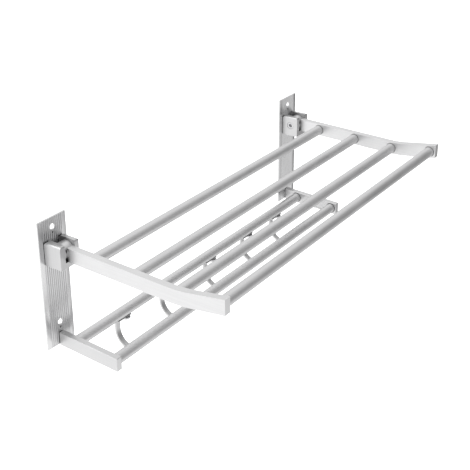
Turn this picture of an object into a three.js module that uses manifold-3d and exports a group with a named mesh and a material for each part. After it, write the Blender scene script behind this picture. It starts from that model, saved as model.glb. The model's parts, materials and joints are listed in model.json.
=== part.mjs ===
// Wall mounted fold down drying rack in satin aluminium.
// Millimetres. X runs along the rails, the wall is the plane y = 0 with the rack in front of it
// at negative y, and Z is up. The hinge axis of the folding shelf lies at z = 0.
import * as THREE from 'three';
import Module from 'manifold-3d';
import { mergeVertices } from 'three/addons/utils/BufferGeometryUtils.js';

// ---- driving dimensions ----
const rackWidth = 600;
const gap = 0.3;
const cutExtra = 2;

const plateWidth = 48.6;
const plateTop = 42.8;
const plateBottom = -139.5;
const plateThickness = 3;
const plateBevelWidth = 6;
const plateBevelDepth = 0.8;
const fluteCount = 11;
const fluteDepth = 0.45;
const wallHoleRadius = 4;
const wallHoleHeights = [29.8, -107.6];
const locatingHoleRadius = 1.3;
const locatingHoleDrop = 8;
const locatingHoleDepth = 2;

const pivotY = -18;
const blockSlotWidth = 17.2;
const outerCheekThickness = 8.6;
const innerCheekThickness = 7.3;
const blockDepth = 27.5;
const blockTop = 15;
const blockBottom = -17.3;
const blockRearRadius = 5;
const blockFrontRadius = 2.5;
const outerShoulderRadius = 4.5;
const innerShoulderRadius = 2;
const knuckleRadius = 12.2;
const boltRadius = 4;
const boltHeadRadius = 5.5;
const boltHeadLength = 3.4;
const boltSocketRadius = 3.2;
const boltSocketDepth = 4.5;
const boltBlindDepth = 4;
const tongueThickness = 6;
const tongueHeight = 12;
const tongueEnd = -46;

const armThickness = 10.2;
const armHeight = 19.1;
const armNoseHeight = 20.6;
const armPivotRise = 0.4;
const armBendY = -204.4;
const armBendZ = -3.3;
const armNoseY = -269.5;
const armNoseZ = 6.7;
const armBendReach = 15;

const tubeRadius = 7.6;
const tubeWall = 1.4;
const socketDepth = 3;
const firstTubeY = -66;
const shelfTubePitch = 64.9;
const lastTubeSetback = 10.2;

const railArmThickness = 9;
const railArmHeight = 18.9;
const railArmFrontY = -102.4;
const railArmRootZ = -131.4;
const railArmSlope = THREE.MathUtils.degToRad(2);
const rearRailY = -26.1;
const frontRailY = -92.5;

const slotWidth = 4.2;
const hookLeftFaces = [-195, -99.3, 6, 105, 189.5];
const hookStripWidth = 8;
const hookStripThickness = 3;
const hookFootLength = 29;
const hookFootThickness = 1.3;
const hookRadius = 25;
const hookCentreDrop = 21.9;
const hookSweep = THREE.MathUtils.degToRad(135);
const hookSetback = 3.2;
const runnerHeadWidth = 8;
const runnerHeadThickness = 2.2;
const runnerHeadBottom = -4.4;
const screwInset = 19.4;
const screwRadius = 1.2;
const screwHeadRadius = 6.6;
const screwHeadLength = 2.4;
const screwSocketRadius = 2;
const screwSocketDepth = 1.2;

// ---- values that follow ----
const wasm = await Module();
wasm.setup();

const plateCentreX = rackWidth / 2 - plateWidth / 2;
const plateFrontY = -plateThickness;
const blockRearY = plateFrontY - gap;
const blockFrontY = blockRearY - blockDepth;
const slotHalf = blockSlotWidth / 2;
const stopHeight = -(armHeight / 2 + gap);
const armInnerX = plateCentreX - armThickness / 2;
const armRearY = pivotY - knuckleRadius - gap;
const railArmInnerX = plateCentreX - railArmThickness / 2;
const noseTubeY = armNoseY + lastTubeSetback;

const group = new THREE.Group();
group.name = 'fold_down_drying_rack';

const satinAluminium = { color: 0xc9cbcd, roughness: 0.38, metalness: 0.9 };
const brightSteel = { color: 0xb8babd, roughness: 0.3, metalness: 1 };
const greyNylon = { color: 0x8d9093, roughness: 0.6, metalness: 0 };

// ---- helpers ----
function toManifold(geometry) {
  const bare = geometry.clone();
  bare.deleteAttribute('normal');
  bare.deleteAttribute('uv');
  const merged = mergeVertices(bare, 1e-4);
  return new wasm.Manifold(new wasm.Mesh({
    numProp: 3,
    vertProperties: new Float32Array(merged.attributes.position.array),
    triVerts: new Uint32Array(merged.index.array),
  }));
}

function fromManifold(solid) {
  const mesh = solid.getMesh();
  const geometry = new THREE.BufferGeometry();
  geometry.setAttribute('position', new THREE.BufferAttribute(mesh.vertProperties, 3));
  geometry.setIndex(new THREE.BufferAttribute(mesh.triVerts, 1));
  const flat = geometry.toNonIndexed();
  flat.computeVertexNormals();
  return flat;
}

function addPart(name, solid, finish) {
  const mesh = new THREE.Mesh(fromManifold(solid), new THREE.MeshStandardMaterial(finish));
  mesh.name = name;
  group.add(mesh);
}

// A shape drawn in (y, z) and stretched along X, centred on x = 0.
function extrudeAlongX(shape, length, curveSegments = 16) {
  const geometry = new THREE.ExtrudeGeometry(shape, { depth: length, bevelEnabled: false, curveSegments });
  geometry.applyMatrix4(new THREE.Matrix4().makeBasis(
    new THREE.Vector3(0, 1, 0), new THREE.Vector3(0, 0, 1), new THREE.Vector3(1, 0, 0)));
  geometry.translate(-length / 2, 0, 0);
  return toManifold(geometry);
}

// A shape drawn in (x, z) and stretched along Y between two depths.
function extrudeAlongY(shape, fromY, toY) {
  const depth = Math.abs(toY - fromY);
  const geometry = new THREE.ExtrudeGeometry(shape, { depth, bevelEnabled: false, curveSegments: 12 });
  geometry.rotateX(Math.PI / 2);
  geometry.translate(0, Math.max(fromY, toY), 0);
  return toManifold(geometry);
}

function cylinderAlongX(radius, length, y, z, x = 0, segments = 40) {
  const geometry = new THREE.CylinderGeometry(radius, radius, length, segments);
  geometry.rotateZ(Math.PI / 2);
  geometry.translate(x, y, z);
  return toManifold(geometry);
}

function cylinderAlongY(radius, length, x, y, z) {
  const geometry = new THREE.CylinderGeometry(radius, radius, length, 32);
  geometry.translate(x, y, z);
  return toManifold(geometry);
}

function cylinderAlongZ(radius, length, x, y, z, segments = 24) {
  const geometry = new THREE.CylinderGeometry(radius, radius, length, segments);
  geometry.rotateX(Math.PI / 2);
  geometry.translate(x, y, z);
  return toManifold(geometry);
}

function box(fromX, toX, fromY, toY, fromZ, toZ) {
  const geometry = new THREE.BoxGeometry(toX - fromX, toY - fromY, toZ - fromZ);
  geometry.translate((fromX + toX) / 2, (fromY + toY) / 2, (fromZ + toZ) / 2);
  return toManifold(geometry);
}

// Height of the shelf arm's centre line at a depth y.
function armCentreZ(y) {
  if (y > armBendY) {
    return THREE.MathUtils.mapLinear(y, pivotY, armBendY, armPivotRise, armBendZ);
  }
  return THREE.MathUtils.mapLinear(y, armBendY, armNoseY, armBendZ, armNoseZ);
}

function railArmCentreZ(y) {
  return railArmRootZ + y * Math.tan(railArmSlope);
}

// ---- wall plates: fluted extrusions with bevelled edges ----
function plateOutline() {
  const half = plateWidth / 2;
  const flatHalf = half - plateBevelWidth;
  const pitch = (2 * flatHalf) / fluteCount;
  const shape = new THREE.Shape();
  shape.moveTo(-half, 0);
  shape.lineTo(-half, plateFrontY + plateBevelDepth);
  shape.lineTo(-flatHalf, plateFrontY);
  for (let i = 0; i < fluteCount; i += 1) {
    const left = -flatHalf + i * pitch;
    shape.lineTo(left + pitch / 2, plateFrontY + fluteDepth);
    shape.lineTo(left + pitch, plateFrontY);
  }
  shape.lineTo(half, plateFrontY + plateBevelDepth);
  shape.lineTo(half, 0);
  return shape;
}

function wallPlate() {
  const geometry = new THREE.ExtrudeGeometry(plateOutline(), {
    depth: plateTop - plateBottom,
    bevelEnabled: false,
  });
  geometry.translate(0, 0, plateBottom);
  let plate = toManifold(geometry);
  const throughLength = plateThickness + 2 * cutExtra;
  for (const height of wallHoleHeights) {
    plate = plate.subtract(cylinderAlongY(wallHoleRadius, throughLength, 0, plateFrontY / 2, height));
    const locating = cylinderAlongY(
      locatingHoleRadius, 2 * locatingHoleDepth, 0, plateFrontY, height - locatingHoleDrop);
    plate = plate.subtract(locating);
  }
  return plate;
}

// ---- hinge blocks: two cheeks on a floor, cradling the knuckle ----
function blockSideOutline() {
  const shape = new THREE.Shape();
  shape.moveTo(blockRearY, blockBottom);
  shape.lineTo(blockRearY, blockTop - blockRearRadius);
  shape.absarc(
    blockRearY - blockRearRadius, blockTop - blockRearRadius, blockRearRadius, 0, Math.PI / 2);
  shape.absarc(
    blockFrontY + blockFrontRadius, blockTop - blockFrontRadius, blockFrontRadius,
    Math.PI / 2, Math.PI);
  shape.lineTo(blockFrontY, blockBottom);
  return shape;
}

// inward is +1 or -1: the side of the block that faces the middle of the rack.
function blockSides(inward) {
  const outer = { reach: slotHalf + outerCheekThickness, radius: outerShoulderRadius };
  const inner = { reach: slotHalf + innerCheekThickness, radius: innerShoulderRadius };
  return inward > 0 ? { left: outer, right: inner } : { left: inner, right: outer };
}

// The block seen from the front: a U with rounded outer shoulders.
function blockFrontOutline({ left, right }) {
  const shape = new THREE.Shape();
  shape.moveTo(-left.reach, blockBottom);
  shape.lineTo(right.reach, blockBottom);
  shape.lineTo(right.reach, blockTop - right.radius);
  shape.absarc(right.reach - right.radius, blockTop - right.radius, right.radius, 0, Math.PI / 2);
  shape.lineTo(slotHalf, blockTop);
  shape.lineTo(slotHalf, stopHeight);
  shape.lineTo(-slotHalf, stopHeight);
  shape.lineTo(-slotHalf, blockTop);
  shape.absarc(left.radius - left.reach, blockTop - left.radius, left.radius, Math.PI / 2, Math.PI);
  return shape;
}

function hingeBlock(inward) {
  const sides = blockSides(inward);
  const innerFace = inward * (slotHalf + innerCheekThickness);
  const outerBoreEnd = -inward * (slotHalf + boltBlindDepth + gap);
  const boreLength = Math.abs(innerFace - outerBoreEnd) + cutExtra;
  const boreCentre = outerBoreEnd + inward * (boreLength / 2);
  const recessLength = boltHeadLength + gap;
  const recessCentre = innerFace - inward * (recessLength / 2 - cutExtra / 2);
  return extrudeAlongX(blockSideOutline(), sides.left.reach + sides.right.reach)
    .translate([(sides.right.reach - sides.left.reach) / 2, 0, 0])
    .intersect(extrudeAlongY(blockFrontOutline(sides), blockRearY + cutExtra, blockFrontY - cutExtra))
    .subtract(cylinderAlongX(knuckleRadius + gap, blockSlotWidth, pivotY, 0, 0, 64))
    .subtract(cylinderAlongX(boltRadius + gap, boreLength, pivotY, 0, boreCentre))
    .subtract(cylinderAlongX(boltHeadRadius + gap, recessLength + cutExtra, pivotY, 0, recessCentre));
}

function pivotBolt(inward) {
  const headFace = inward * (slotHalf + innerCheekThickness - gap);
  const headCentre = headFace - inward * (boltHeadLength / 2);
  const shankEnd = -inward * (slotHalf + boltBlindDepth);
  const shankStart = headCentre;
  const socketCentre = headFace - inward * (boltSocketDepth / 2 - cutExtra / 2);
  return cylinderAlongX(boltHeadRadius, boltHeadLength, pivotY, 0, headCentre)
    .add(cylinderAlongX(
      boltRadius, Math.abs(shankStart - shankEnd), pivotY, 0, (shankStart + shankEnd) / 2))
    .subtract(cylinderAlongX(
      boltSocketRadius, boltSocketDepth + cutExtra, pivotY, 0, socketCentre, 6));
}

// ---- shelf: knuckles, bent arms and four tubes ----
function knuckle() {
  const length = blockSlotWidth - 2 * gap;
  return cylinderAlongX(knuckleRadius, length, pivotY, 0, 0, 64)
    .add(box(
      -tongueThickness / 2, tongueThickness / 2, tongueEnd, pivotY, -tongueHeight / 2, tongueHeight / 2))
    .subtract(cylinderAlongX(boltRadius + gap, length + 2 * cutExtra, pivotY, 0));
}

// A quadratic sweep that rounds the bend between the arm's straight part and its nose.
function roundedCorner(shape, corner, before, after) {
  shape.lineTo(before.x, before.y);
  shape.quadraticCurveTo(corner.x, corner.y, after.x, after.y);
}

function armOutline() {
  const edge = (y, offset) => new THREE.Vector2(y, armCentreZ(y) + offset);
  const half = armHeight / 2;
  const noseHalf = armNoseHeight / 2;
  const noseShare = armBendReach / (armBendY - armNoseY);
  const afterHalf = THREE.MathUtils.lerp(half, noseHalf, noseShare);
  const shape = new THREE.Shape();
  shape.moveTo(armRearY, armCentreZ(armRearY) - half);
  roundedCorner(
    shape, edge(armBendY, -half), edge(armBendY + armBendReach, -half),
    edge(armBendY - armBendReach, -afterHalf));
  shape.lineTo(armNoseY, armNoseZ - noseHalf);
  shape.lineTo(armNoseY, armNoseZ + noseHalf);
  roundedCorner(
    shape, edge(armBendY, half), edge(armBendY - armBendReach, afterHalf),
    edge(armBendY + armBendReach, half));
  shape.lineTo(armRearY, armCentreZ(armRearY) + half);
  return shape;
}

function shelfTubeDepths() {
  return [0, 1, 2].map((i) => firstTubeY - i * shelfTubePitch).concat(noseTubeY);
}

// Blind seats for tube ends, cut into the face of an arm that looks to the middle of the rack.
function tubeSeats(arm, inward, thickness, seats) {
  const length = socketDepth + gap + cutExtra;
  const centre = inward * (thickness / 2 - socketDepth - gap + length / 2);
  let seated = arm;
  for (const [y, z] of seats) {
    seated = seated.subtract(cylinderAlongX(tubeRadius + gap, length, y, z, centre, 48));
  }
  return seated;
}

function shelfArm(inward) {
  const pocket = box(
    -tongueThickness / 2 - gap, tongueThickness / 2 + gap, tongueEnd - gap, pivotY,
    -tongueHeight / 2 - gap, tongueHeight / 2 + gap);
  const arm = extrudeAlongX(armOutline(), armThickness).subtract(pocket);
  return tubeSeats(arm, inward, armThickness, shelfTubeDepths().map((y) => [y, armCentreZ(y)]));
}

function tubeSolid(halfLength, y, z) {
  const section = new THREE.Shape();
  section.absarc(y, z, tubeRadius, 0, Math.PI * 2);
  const bore = new THREE.Path();
  bore.absarc(y, z, tubeRadius - tubeWall, 0, Math.PI * 2);
  section.holes.push(bore);
  return extrudeAlongX(section, 2 * halfLength, 24);
}

// ---- fixed lower rail: two straight arms and two tubes, the rear one slotted underneath ----
function railArm(inward) {
  const half = railArmHeight / 2;
  const rearY = plateFrontY - gap;
  const shape = new THREE.Shape();
  shape.moveTo(rearY, railArmCentreZ(rearY) - half);
  shape.lineTo(railArmFrontY, railArmCentreZ(railArmFrontY) - half);
  shape.lineTo(railArmFrontY, railArmCentreZ(railArmFrontY) + half);
  shape.lineTo(rearY, railArmCentreZ(rearY) + half);
  const arm = extrudeAlongX(shape, railArmThickness);
  return tubeSeats(
    arm, inward, railArmThickness, [rearRailY, frontRailY].map((y) => [y, railArmCentreZ(y)]));
}

function slottedTube(halfLength, y, z) {
  const slot = box(
    -halfLength - cutExtra, halfLength + cutExtra, y - slotWidth / 2, y + slotWidth / 2,
    z - tubeRadius - cutExtra, z);
  return tubeSolid(halfLength, y, z).subtract(slot);
}

// ---- hooks: a foot under the rear tube with a J strip at its left end ----
const railZ = railArmCentreZ(rearRailY);
const footTop = railZ - tubeRadius - gap;
const footBottom = footTop - hookFootThickness;

function hookOutline() {
  const rearFace = rearRailY + hookSetback;
  const centreY = rearFace - hookRadius;
  const centreZ = railZ - hookCentreDrop;
  const innerRadius = hookRadius - hookStripThickness;
  const tipRadius = hookStripThickness / 2;
  const middle = hookRadius - tipRadius;
  const tipY = centreY + middle * Math.cos(hookSweep);
  const tipZ = centreZ - middle * Math.sin(hookSweep);
  const shape = new THREE.Shape();
  shape.moveTo(rearFace, footTop);
  shape.lineTo(rearFace, centreZ);
  shape.absarc(centreY, centreZ, hookRadius, 0, -hookSweep, true);
  shape.absarc(tipY, tipZ, tipRadius, -hookSweep, -hookSweep - Math.PI, true);
  shape.absarc(centreY, centreZ, innerRadius, -hookSweep, 0, false);
  shape.lineTo(rearFace - hookStripThickness, footTop);
  return shape;
}

// The foot: a flat bar along X whose ends are half circles.
function hookFoot(leftFace) {
  const radius = hookStripWidth / 2;
  const shape = new THREE.Shape();
  shape.absarc(leftFace + radius, rearRailY, radius, Math.PI / 2, (3 * Math.PI) / 2);
  shape.absarc(leftFace + hookFootLength - radius, rearRailY, radius, -Math.PI / 2, Math.PI / 2);
  const geometry = new THREE.ExtrudeGeometry(shape, {
    depth: hookFootThickness,
    bevelEnabled: false,
    curveSegments: 12,
  });
  geometry.translate(0, 0, footBottom);
  return toManifold(geometry);
}

function hook(leftFace) {
  const screwX = leftFace + screwInset;
  const width = hookStripWidth;
  const strip = extrudeAlongX(hookOutline(), width, 20).translate([leftFace + width / 2, 0, 0]);
  const root = box(
    leftFace, leftFace + width, rearRailY - width / 2, rearRailY + width / 2, footBottom, footTop);
  const screwHole = cylinderAlongZ(
    screwRadius + gap, hookFootThickness + 2 * cutExtra, screwX, rearRailY, (footTop + footBottom) / 2);
  return strip.add(root).add(hookFoot(leftFace)).subtract(screwHole);
}

// The runner: a head inside the tube and a neck down through its slot.
function hookRunner(leftFace) {
  const headHalf = runnerHeadWidth / 2;
  const neckHalf = slotWidth / 2 - gap;
  const rightFace = leftFace + hookFootLength;
  const headBottom = railZ + runnerHeadBottom;
  const head = box(
    leftFace, rightFace, rearRailY - headHalf, rearRailY + headHalf,
    headBottom, headBottom + runnerHeadThickness);
  const neck = box(
    leftFace, rightFace, rearRailY - neckHalf, rearRailY + neckHalf,
    footTop + gap, headBottom + runnerHeadThickness / 2);
  const screwSeat = cylinderAlongZ(
    screwRadius + gap, 2 * (headBottom - footTop), leftFace + screwInset, rearRailY, footTop);
  return head.add(neck).subtract(screwSeat);
}

function hookScrew(leftFace) {
  const x = leftFace + screwInset;
  const headTop = footBottom - gap;
  const headBottom = headTop - screwHeadLength;
  const shankTop = railZ + runnerHeadBottom - 2 * gap;
  const shankLength = shankTop - headTop + screwHeadLength / 2;
  return cylinderAlongZ(screwHeadRadius, screwHeadLength, x, rearRailY, headTop - screwHeadLength / 2, 40)
    .add(cylinderAlongZ(screwRadius, shankLength, x, rearRailY, shankTop - shankLength / 2))
    .subtract(cylinderAlongZ(
      screwSocketRadius, 2 * screwSocketDepth, x, rearRailY, headBottom, 6));
}

// ---- assembly ----
for (const [side, inward] of [['left', 1], ['right', -1]]) {
  const place = (solid) => solid.translate([-inward * plateCentreX, 0, 0]);
  addPart(`wall_plate_${side}`, place(wallPlate()), satinAluminium);
  addPart(`hinge_block_${side}`, place(hingeBlock(inward)), satinAluminium);
  addPart(`pivot_bolt_${side}`, place(pivotBolt(inward)), brightSteel);
  addPart(`knuckle_${side}`, place(knuckle()), satinAluminium);
  addPart(`shelf_arm_${side}`, place(shelfArm(inward)), satinAluminium);
  addPart(`rail_arm_${side}`, place(railArm(inward)), satinAluminium);
}

shelfTubeDepths().forEach((y, i) => {
  addPart(`shelf_tube_${i + 1}`, tubeSolid(armInnerX + socketDepth, y, armCentreZ(y)), satinAluminium);
});

const railTubeHalfLength = railArmInnerX + socketDepth;
addPart('rail_tube_rear', slottedTube(railTubeHalfLength, rearRailY, railZ), satinAluminium);
addPart(
  'rail_tube_front', tubeSolid(railTubeHalfLength, frontRailY, railArmCentreZ(frontRailY)), satinAluminium);

hookLeftFaces.forEach((leftFace, i) => {
  addPart(`hook_${i + 1}`, hook(leftFace), satinAluminium);
  addPart(`hook_runner_${i + 1}`, hookRunner(leftFace), greyNylon);
  addPart(`hook_screw_${i + 1}`, hookScrew(leftFace), brightSteel);
});

export default group;
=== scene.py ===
"""Looks of the wall mounted fold down drying rack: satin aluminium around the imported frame."""

import json
import math

import bmesh
import bpy
from mathutils import Matrix, Vector


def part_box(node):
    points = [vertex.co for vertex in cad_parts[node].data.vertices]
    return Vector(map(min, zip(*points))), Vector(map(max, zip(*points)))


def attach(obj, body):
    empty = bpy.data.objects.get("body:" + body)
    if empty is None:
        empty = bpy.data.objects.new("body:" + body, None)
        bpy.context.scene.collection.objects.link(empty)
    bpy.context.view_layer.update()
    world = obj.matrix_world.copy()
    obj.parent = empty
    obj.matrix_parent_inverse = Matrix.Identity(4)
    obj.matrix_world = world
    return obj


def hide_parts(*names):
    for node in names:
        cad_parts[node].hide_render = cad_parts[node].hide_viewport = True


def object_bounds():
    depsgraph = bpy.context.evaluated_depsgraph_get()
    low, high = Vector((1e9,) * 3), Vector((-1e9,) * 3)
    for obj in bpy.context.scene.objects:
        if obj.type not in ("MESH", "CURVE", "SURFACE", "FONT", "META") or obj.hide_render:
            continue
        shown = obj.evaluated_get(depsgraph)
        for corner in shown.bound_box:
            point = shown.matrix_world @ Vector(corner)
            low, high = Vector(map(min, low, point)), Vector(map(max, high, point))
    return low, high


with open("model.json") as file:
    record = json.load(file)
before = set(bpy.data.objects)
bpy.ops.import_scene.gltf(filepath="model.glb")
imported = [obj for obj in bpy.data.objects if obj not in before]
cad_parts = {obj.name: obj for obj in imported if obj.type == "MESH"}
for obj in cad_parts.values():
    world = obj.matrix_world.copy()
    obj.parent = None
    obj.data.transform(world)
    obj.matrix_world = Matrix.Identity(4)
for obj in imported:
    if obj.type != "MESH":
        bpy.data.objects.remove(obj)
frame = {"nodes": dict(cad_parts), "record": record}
cad_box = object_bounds()

MM = 0.001
MERGE_DISTANCE = 0.005 * MM
COPLANAR_ANGLE = math.radians(0.6)
SHARP_ANGLE = math.radians(25)
TUBE_SIDES = 96

SIDES = ("left", "right")
HOOK_NUMBERS = range(1, 6)

node_body = {
    node: body
    for body, nodes in frame["record"]["behaviour"]["bodies"].items()
    for node in nodes
}


# ---- shaping pieces ----
def add_piece(mesh, node, material):
    """A mesh in the row frame that is shown in place of one CAD node and rides on its body."""
    mesh.materials.append(material)
    mesh.shade_smooth()
    mesh.set_sharp_from_angle(angle=SHARP_ANGLE)
    piece = bpy.data.objects.new(f"{node}_finished", mesh)
    bpy.context.scene.collection.objects.link(piece)
    flat_faces = piece.modifiers.new("flat_faces_stay_flat", "WEIGHTED_NORMAL")
    flat_faces.keep_sharp = True
    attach(piece, node_body[node])
    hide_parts(node)
    return piece


def to_mesh(shape, name):
    bmesh.ops.recalc_face_normals(shape, faces=shape.faces)
    mesh = bpy.data.meshes.new(name)
    shape.to_mesh(mesh)
    shape.free()
    return mesh


def eased(node, width, segments=3):
    """The CAD node's shape as flat faces and arcs, with every sharp edge rounded over."""
    shape = bmesh.new()
    shape.from_mesh(frame["nodes"][node].data)
    bmesh.ops.remove_doubles(shape, verts=shape.verts, dist=MERGE_DISTANCE)
    bmesh.ops.dissolve_limit(
        shape, angle_limit=COPLANAR_ANGLE, verts=shape.verts, edges=shape.edges)
    sharp = [
        edge for edge in shape.edges
        if len(edge.link_faces) == 2 and edge.calc_face_angle() > SHARP_ANGLE
    ]
    bmesh.ops.bevel(
        shape, geom=sharp, offset=width, offset_type="OFFSET", segments=segments,
        profile=0.5, affect="EDGES", clamp_overlap=True, loop_slide=True)
    bmesh.ops.remove_doubles(shape, verts=shape.verts, dist=MERGE_DISTANCE)
    return to_mesh(shape, node)


def tube(node, slotted=False):
    """A hollow tube along X, finer than the CAD one, open underneath along its length if slotted."""
    low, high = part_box(node)
    outer = (high.y - low.y) / 2
    centre = Vector((0, (low.y + high.y) / 2, high.z - outer))
    section = [v.co - centre for v in frame["nodes"][node].data.vertices]
    bore = min(math.hypot(p.y, p.z) for p in section)
    slot_half = min(abs(p.y) for p in section if p.z < -bore / 2) if slotted else 0
    shape = bmesh.new()
    rings = []
    steps = TUBE_SIDES + 1 if slotted else TUBE_SIDES
    for i in range(steps):
        ring = []
        for radius in (outer, bore):
            edge_angle = math.asin(slot_half / radius)
            angle = edge_angle + (2 * math.pi - 2 * edge_angle) * i / TUBE_SIDES
            y = centre.y + radius * math.sin(angle)
            z = centre.z - radius * math.cos(angle)
            ring.append([shape.verts.new((x, y, z)) for x in (low.x, high.x)])
        rings.append(ring)
    pairs = list(zip(rings, rings[1:]))
    if slotted:
        for outside, inside in (rings[0], rings[-1]):
            shape.faces.new((outside[0], outside[1], inside[1], inside[0]))
    else:
        pairs.append((rings[-1], rings[0]))
    for (outside, inside), (next_outside, next_inside) in pairs:
        shape.faces.new((outside[0], outside[1], next_outside[1], next_outside[0]))
        shape.faces.new((inside[0], inside[1], next_inside[1], next_inside[0]))
        for end in (0, 1):
            shape.faces.new((outside[end], next_outside[end], next_inside[end], inside[end]))
    return to_mesh(shape, node)


# ---- materials ----
def shader(name):
    material = bpy.data.materials.new(name)
    material.use_nodes = True
    tree = material.node_tree
    principled = next(n for n in tree.nodes if n.type == "BSDF_PRINCIPLED")
    return material, tree, principled


def noise(tree, scale, detail=3.0):
    """Noise in the piece's own coordinates, with a scale per metre along each axis."""
    coordinates = tree.nodes.new("ShaderNodeTexCoord")
    mapping = tree.nodes.new("ShaderNodeMapping")
    texture = tree.nodes.new("ShaderNodeTexNoise")
    mapping.inputs["Scale"].default_value = scale
    texture.inputs["Scale"].default_value = 1
    texture.inputs["Detail"].default_value = detail
    tree.links.new(coordinates.outputs["Object"], mapping.inputs["Vector"])
    tree.links.new(mapping.outputs["Vector"], texture.inputs["Vector"])
    return texture.outputs["Fac"]


def mapped(tree, value, low, high, from_low=0.3, from_high=0.7):
    node = tree.nodes.new("ShaderNodeMapRange")
    node.inputs["From Min"].default_value = from_low
    node.inputs["From Max"].default_value = from_high
    node.inputs["To Min"].default_value = low
    node.inputs["To Max"].default_value = high
    tree.links.new(value, node.inputs["Value"])
    return node.outputs["Result"]


def combine(tree, operation, first, second):
    node = tree.nodes.new("ShaderNodeMath")
    node.operation = operation
    for socket, value in zip(node.inputs, (first, second)):
        if isinstance(value, (int, float)):
            socket.default_value = value
        else:
            tree.links.new(value, socket)
    return node.outputs["Value"]


def colour_mix(tree, share, first, second):
    node = tree.nodes.new("ShaderNodeMix")
    node.data_type = "RGBA"
    tree.links.new(share, node.inputs["Factor"])
    node.inputs["A"].default_value = (*first, 1)
    node.inputs["B"].default_value = (*second, 1)
    return node.outputs["Result"]


def edge_mask(tree, radius):
    """Near 1 along outer and inner edges, where the rounded normal leaves the true one."""
    geometry = tree.nodes.new("ShaderNodeNewGeometry")
    bevel = tree.nodes.new("ShaderNodeBevel")
    bevel.samples = 4
    bevel.inputs["Radius"].default_value = radius
    dot = tree.nodes.new("ShaderNodeVectorMath")
    dot.operation = "DOT_PRODUCT"
    tree.links.new(geometry.outputs["Normal"], dot.inputs[0])
    tree.links.new(bevel.outputs["Normal"], dot.inputs[1])
    return mapped(tree, dot.outputs["Value"], low=1, high=0, from_low=0.8, from_high=0.99)


def painted_hollow_shade(tree, reach):
    """Painted shade: 1 on open surfaces, falling towards 0.3 in slits and sockets narrower than the
    reach.
    """
    occlusion = tree.nodes.new("ShaderNodeAmbientOcclusion")
    occlusion.samples = 8
    occlusion.inputs["Distance"].default_value = reach
    openness = occlusion.outputs["AO"]
    return mapped(tree, openness, low=0.3, high=1, from_low=0.15, from_high=0.6)


def scaled(tree, colour, share):
    node = tree.nodes.new("ShaderNodeVectorMath")
    node.operation = "SCALE"
    tree.links.new(colour, node.inputs[0])
    tree.links.new(share, node.inputs["Scale"])
    return node.outputs["Vector"]


def bumped(tree, principled, height, distance, strength):
    node = tree.nodes.new("ShaderNodeBump")
    node.inputs["Distance"].default_value = distance
    node.inputs["Strength"].default_value = strength
    tree.links.new(height, node.inputs["Height"])
    tree.links.new(node.outputs["Normal"], principled.inputs["Normal"])


# Noise scales per metre: draw lines along and across the grain, fine grain and broad clouds.
ALONG = 6
ACROSS = 900
GRAIN = 2600
CLOUD = 28
EDGE_WEAR_RADIUS = 0.7 * MM
BUMP_DEPTH = 0.02 * MM
# How far the painted shade in hollows reaches: into sockets and slits, and so little on the hook
# strips that hardly any shows.
SOCKET_REACH = 3 * MM
STRIP_REACH = 0.2 * MM
X, Y, Z = range(3)


def drawn_aluminium(name, grain_axis, dark, light, roughness, hollow_reach):
    """Satin metal with faint draw lines along one axis, paler, smoother edges, and painted shade
    darkening slits and sockets.
    """
    material, tree, principled = shader(name)
    scale = [ACROSS] * 3
    scale[grain_axis] = ALONG
    lines = noise(tree, scale)
    grain = noise(tree, (GRAIN,) * 3, 1)
    clouds = noise(tree, (CLOUD,) * 3, 2)
    worn = edge_mask(tree, EDGE_WEAR_RADIUS)
    tone = combine(tree, "ADD", mapped(tree, lines, 0, 0.45), mapped(tree, clouds, 0, 0.35))
    tone = combine(tree, "ADD", tone, combine(tree, "MULTIPLY", worn, 0.5))
    tone = combine(tree, "MINIMUM", tone, 1.0)
    # The base colour is darkened by painted shade in slits and sockets.
    colour = scaled(tree, colour_mix(tree, tone, dark, light), painted_hollow_shade(tree, hollow_reach))
    tree.links.new(colour, principled.inputs["Base Color"])
    rough = combine(tree, "ADD", mapped(tree, lines, -0.03, 0.03), mapped(tree, clouds, -0.03, 0.03))
    rough = combine(tree, "SUBTRACT", rough, combine(tree, "MULTIPLY", worn, 0.07))
    rough = combine(tree, "ADD", rough, roughness)
    tree.links.new(rough, principled.inputs["Roughness"])
    height = combine(tree, "ADD", combine(tree, "MULTIPLY", grain, 0.5), lines)
    bumped(tree, principled, height, BUMP_DEPTH, strength=0.25)
    principled.inputs["Metallic"].default_value = 1
    return material


def satin_aluminium(label, grain_axis, shade, roughness, hollow_reach=SOCKET_REACH):
    """The rack's own finish; shade was chosen so that a kind of piece has the photo's tone."""
    dark = (0.57 * shade, 0.57 * shade, 0.575 * shade)
    light = (0.66 * shade, 0.66 * shade, 0.662 * shade)
    name = f"satin_aluminium_{label}"
    return drawn_aluminium(name, grain_axis, dark, light, roughness, hollow_reach)


steel = drawn_aluminium(
    "bright_steel", X, dark=(0.49, 0.49, 0.5), light=(0.57, 0.57, 0.58), roughness=0.36,
    hollow_reach=SOCKET_REACH)


def nylon(name):
    material, tree, principled = shader(name)
    grain = noise(tree, (900,) * 3, 2)
    tree.links.new(
        colour_mix(tree, grain, (0.24, 0.25, 0.26), (0.32, 0.33, 0.34)),
        principled.inputs["Base Color"])
    tree.links.new(mapped(tree, grain, 0.5, 0.65), principled.inputs["Roughness"])
    bumped(tree, principled, grain, 0.05 * MM, strength=0.4)
    return material


grey_nylon = nylon("grey_nylon")

# ---- the rack ----
for kind, width, grain_axis, shade, roughness in (
    ("wall_plate", 0.2 * MM, Z, 1.0, 0.3),
    ("hinge_block", 0.8 * MM, Z, 0.83, 0.38),
    ("knuckle", 0.4 * MM, X, 0.9, 0.38),
    ("shelf_arm", 0.9 * MM, Y, 0.98, 0.38),
    ("rail_arm", 0.8 * MM, Y, 0.88, 0.38),
):
    finish = satin_aluminium(kind, grain_axis, shade, roughness)
    for side in SIDES:
        node = f"{kind}_{side}"
        add_piece(eased(node, width), node, finish)

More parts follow.
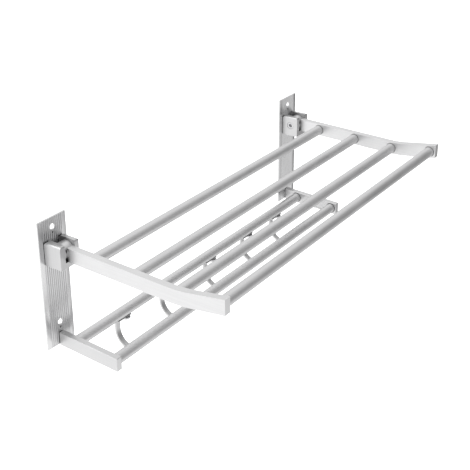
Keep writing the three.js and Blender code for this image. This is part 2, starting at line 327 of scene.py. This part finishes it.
for side in SIDES:
    bolt = f"pivot_bolt_{side}"
    add_piece(eased(bolt, 0.3 * MM), bolt, steel)

tube_finish = satin_aluminium("tube", X, shade=0.95, roughness=0.46)
for node in [f"shelf_tube_{i}" for i in range(1, 5)] + ["rail_tube_front"]:
    add_piece(tube(node), node, tube_finish)
rear_rail = tube("rail_tube_rear", slotted=True)
add_piece(rear_rail, "rail_tube_rear", tube_finish)

hook_finish = satin_aluminium("hook", Z, shade=0.8, roughness=0.38, hollow_reach=STRIP_REACH)
for i in HOOK_NUMBERS:
    add_piece(eased(f"hook_{i}", 0.45 * MM), f"hook_{i}", hook_finish)
    add_piece(eased(f"hook_runner_{i}", 0.25 * MM), f"hook_runner_{i}", grey_nylon)
    add_piece(eased(f"hook_screw_{i}", 0.15 * MM), f"hook_screw_{i}", steel)


# ---- stage ----
FLOOR_SIZE = 12
FLOOR_DROP = 0.35

# Broad patches that make the sky brighter, or darker where strength is below 0. They were tuned
# until the metal's tones came near the photo's. Spread and core are in degrees.
SKY_PATCHES = (
    {"direction": (-1, 0.3, -0.3), "spread": 100, "strength": 0.56},
    {"direction": (0.3, 0.3, 1), "spread": 70, "strength": 0.27},
    {"direction": (0.5, -0.55, -0.67), "spread": 32, "strength": 0.58},
    {"direction": (0.93, -0.4, 0.05), "spread": 48, "strength": -0.7, "core": 20},
    {"direction": (0.75, 0.2, -0.62), "spread": 40, "strength": -0.45},
)


def pale_floor():
    shape = bmesh.new()
    bmesh.ops.create_grid(shape, x_segments=1, y_segments=1, size=FLOOR_SIZE)
    floor = bpy.data.objects.new("floor", to_mesh(shape, "floor"))
    floor.location.z = cad_box[0].z - FLOOR_DROP
    bpy.context.scene.collection.objects.link(floor)
    material, tree, principled = shader("pale_floor")
    principled.inputs["Base Color"].default_value = (0.9, 0.9, 0.9, 1)
    principled.inputs["Roughness"].default_value = 0.9
    principled.inputs["Emission Color"].default_value = (1, 1, 1, 1)
    principled.inputs["Emission Strength"].default_value = 0.6
    floor.data.materials.append(material)
    floor.visible_glossy = False


def sky_patch(tree, direction, spread, strength, core=0):
    """Brightness around one direction of the sky: even out to core degrees, gone at spread."""
    dot = tree.nodes.new("ShaderNodeVectorMath")
    dot.operation = "DOT_PRODUCT"
    coordinates = tree.nodes.new("ShaderNodeTexCoord")
    tree.links.new(coordinates.outputs["Generated"], dot.inputs[0])
    dot.inputs[1].default_value = Vector(direction).normalized()
    fade = tree.nodes.new("ShaderNodeMapRange")
    fade.interpolation_type = "SMOOTHSTEP"
    fade.inputs["From Min"].default_value = math.cos(math.radians(spread))
    fade.inputs["From Max"].default_value = math.cos(math.radians(core))
    fade.inputs["To Max"].default_value = strength
    tree.links.new(dot.outputs["Value"], fade.inputs["Value"])
    return fade.outputs["Result"]


def studio_sky():
    """Even and white to the camera, with the patches only in what lights the rack."""
    world = bpy.data.worlds.new("studio")
    bpy.context.scene.world = world
    world.use_nodes = True
    tree = world.node_tree
    level = 1.0
    for patch in SKY_PATCHES:
        level = combine(tree, "ADD", level, sky_patch(tree, **patch))
    path = tree.nodes.new("ShaderNodeLightPath")
    shown = combine(tree, "MAXIMUM", level, path.outputs["Is Camera Ray"])
    background = tree.nodes["Background"]
    tree.links.new(shown, background.inputs["Strength"])
    background.inputs["Color"].default_value = (1, 1, 1, 1)


def soft_light(direction, distance, size, power):
    """A square studio light that looks at the rack from one direction."""
    data = bpy.data.lights.new("soft_light", "AREA")
    data.size = size
    data.energy = power
    light = bpy.data.objects.new("soft_light", data)
    towards = Vector(direction).normalized()
    light.location = (cad_box[0] + cad_box[1]) / 2 + towards * distance
    light.rotation_mode = "QUATERNION"
    light.rotation_quaternion = towards.to_track_quat("Z", "Y")
    light.visible_camera = False
    bpy.context.scene.collection.objects.link(light)


def photo_camera():
    place = Vector((-1.0368, -0.8118, 0.5708))
    heading = math.radians(53.86)
    pitch = math.radians(23.18)
    roll = math.radians(-0.71)
    forward = Vector((
        math.cos(pitch) * math.sin(heading), math.cos(pitch) * math.cos(heading), -math.sin(pitch)))
    level_right = Vector((math.cos(heading), -math.sin(heading), 0))
    level_up = level_right.cross(forward)
    right = math.cos(roll) * level_right + math.sin(roll) * level_up
    up = math.cos(roll) * level_up - math.sin(roll) * level_right
    data = bpy.data.cameras.new("camera")
    data.sensor_width = 36
    data.lens = 74.98
    data.shift_x = 0.0404
    data.shift_y = -0.1383
    camera = bpy.data.objects.new("camera", data)
    axes = Matrix((right, up, -forward)).transposed().to_4x4()
    camera.matrix_world = Matrix.Translation(place) @ axes
    bpy.context.scene.collection.objects.link(camera)
    bpy.context.scene.camera = camera


pale_floor()
studio_sky()
soft_light((-0.47, 0.64, 0.58), distance=2.4, size=1.0, power=8)
photo_camera()
bpy.context.scene.view_settings.view_transform = "Standard"
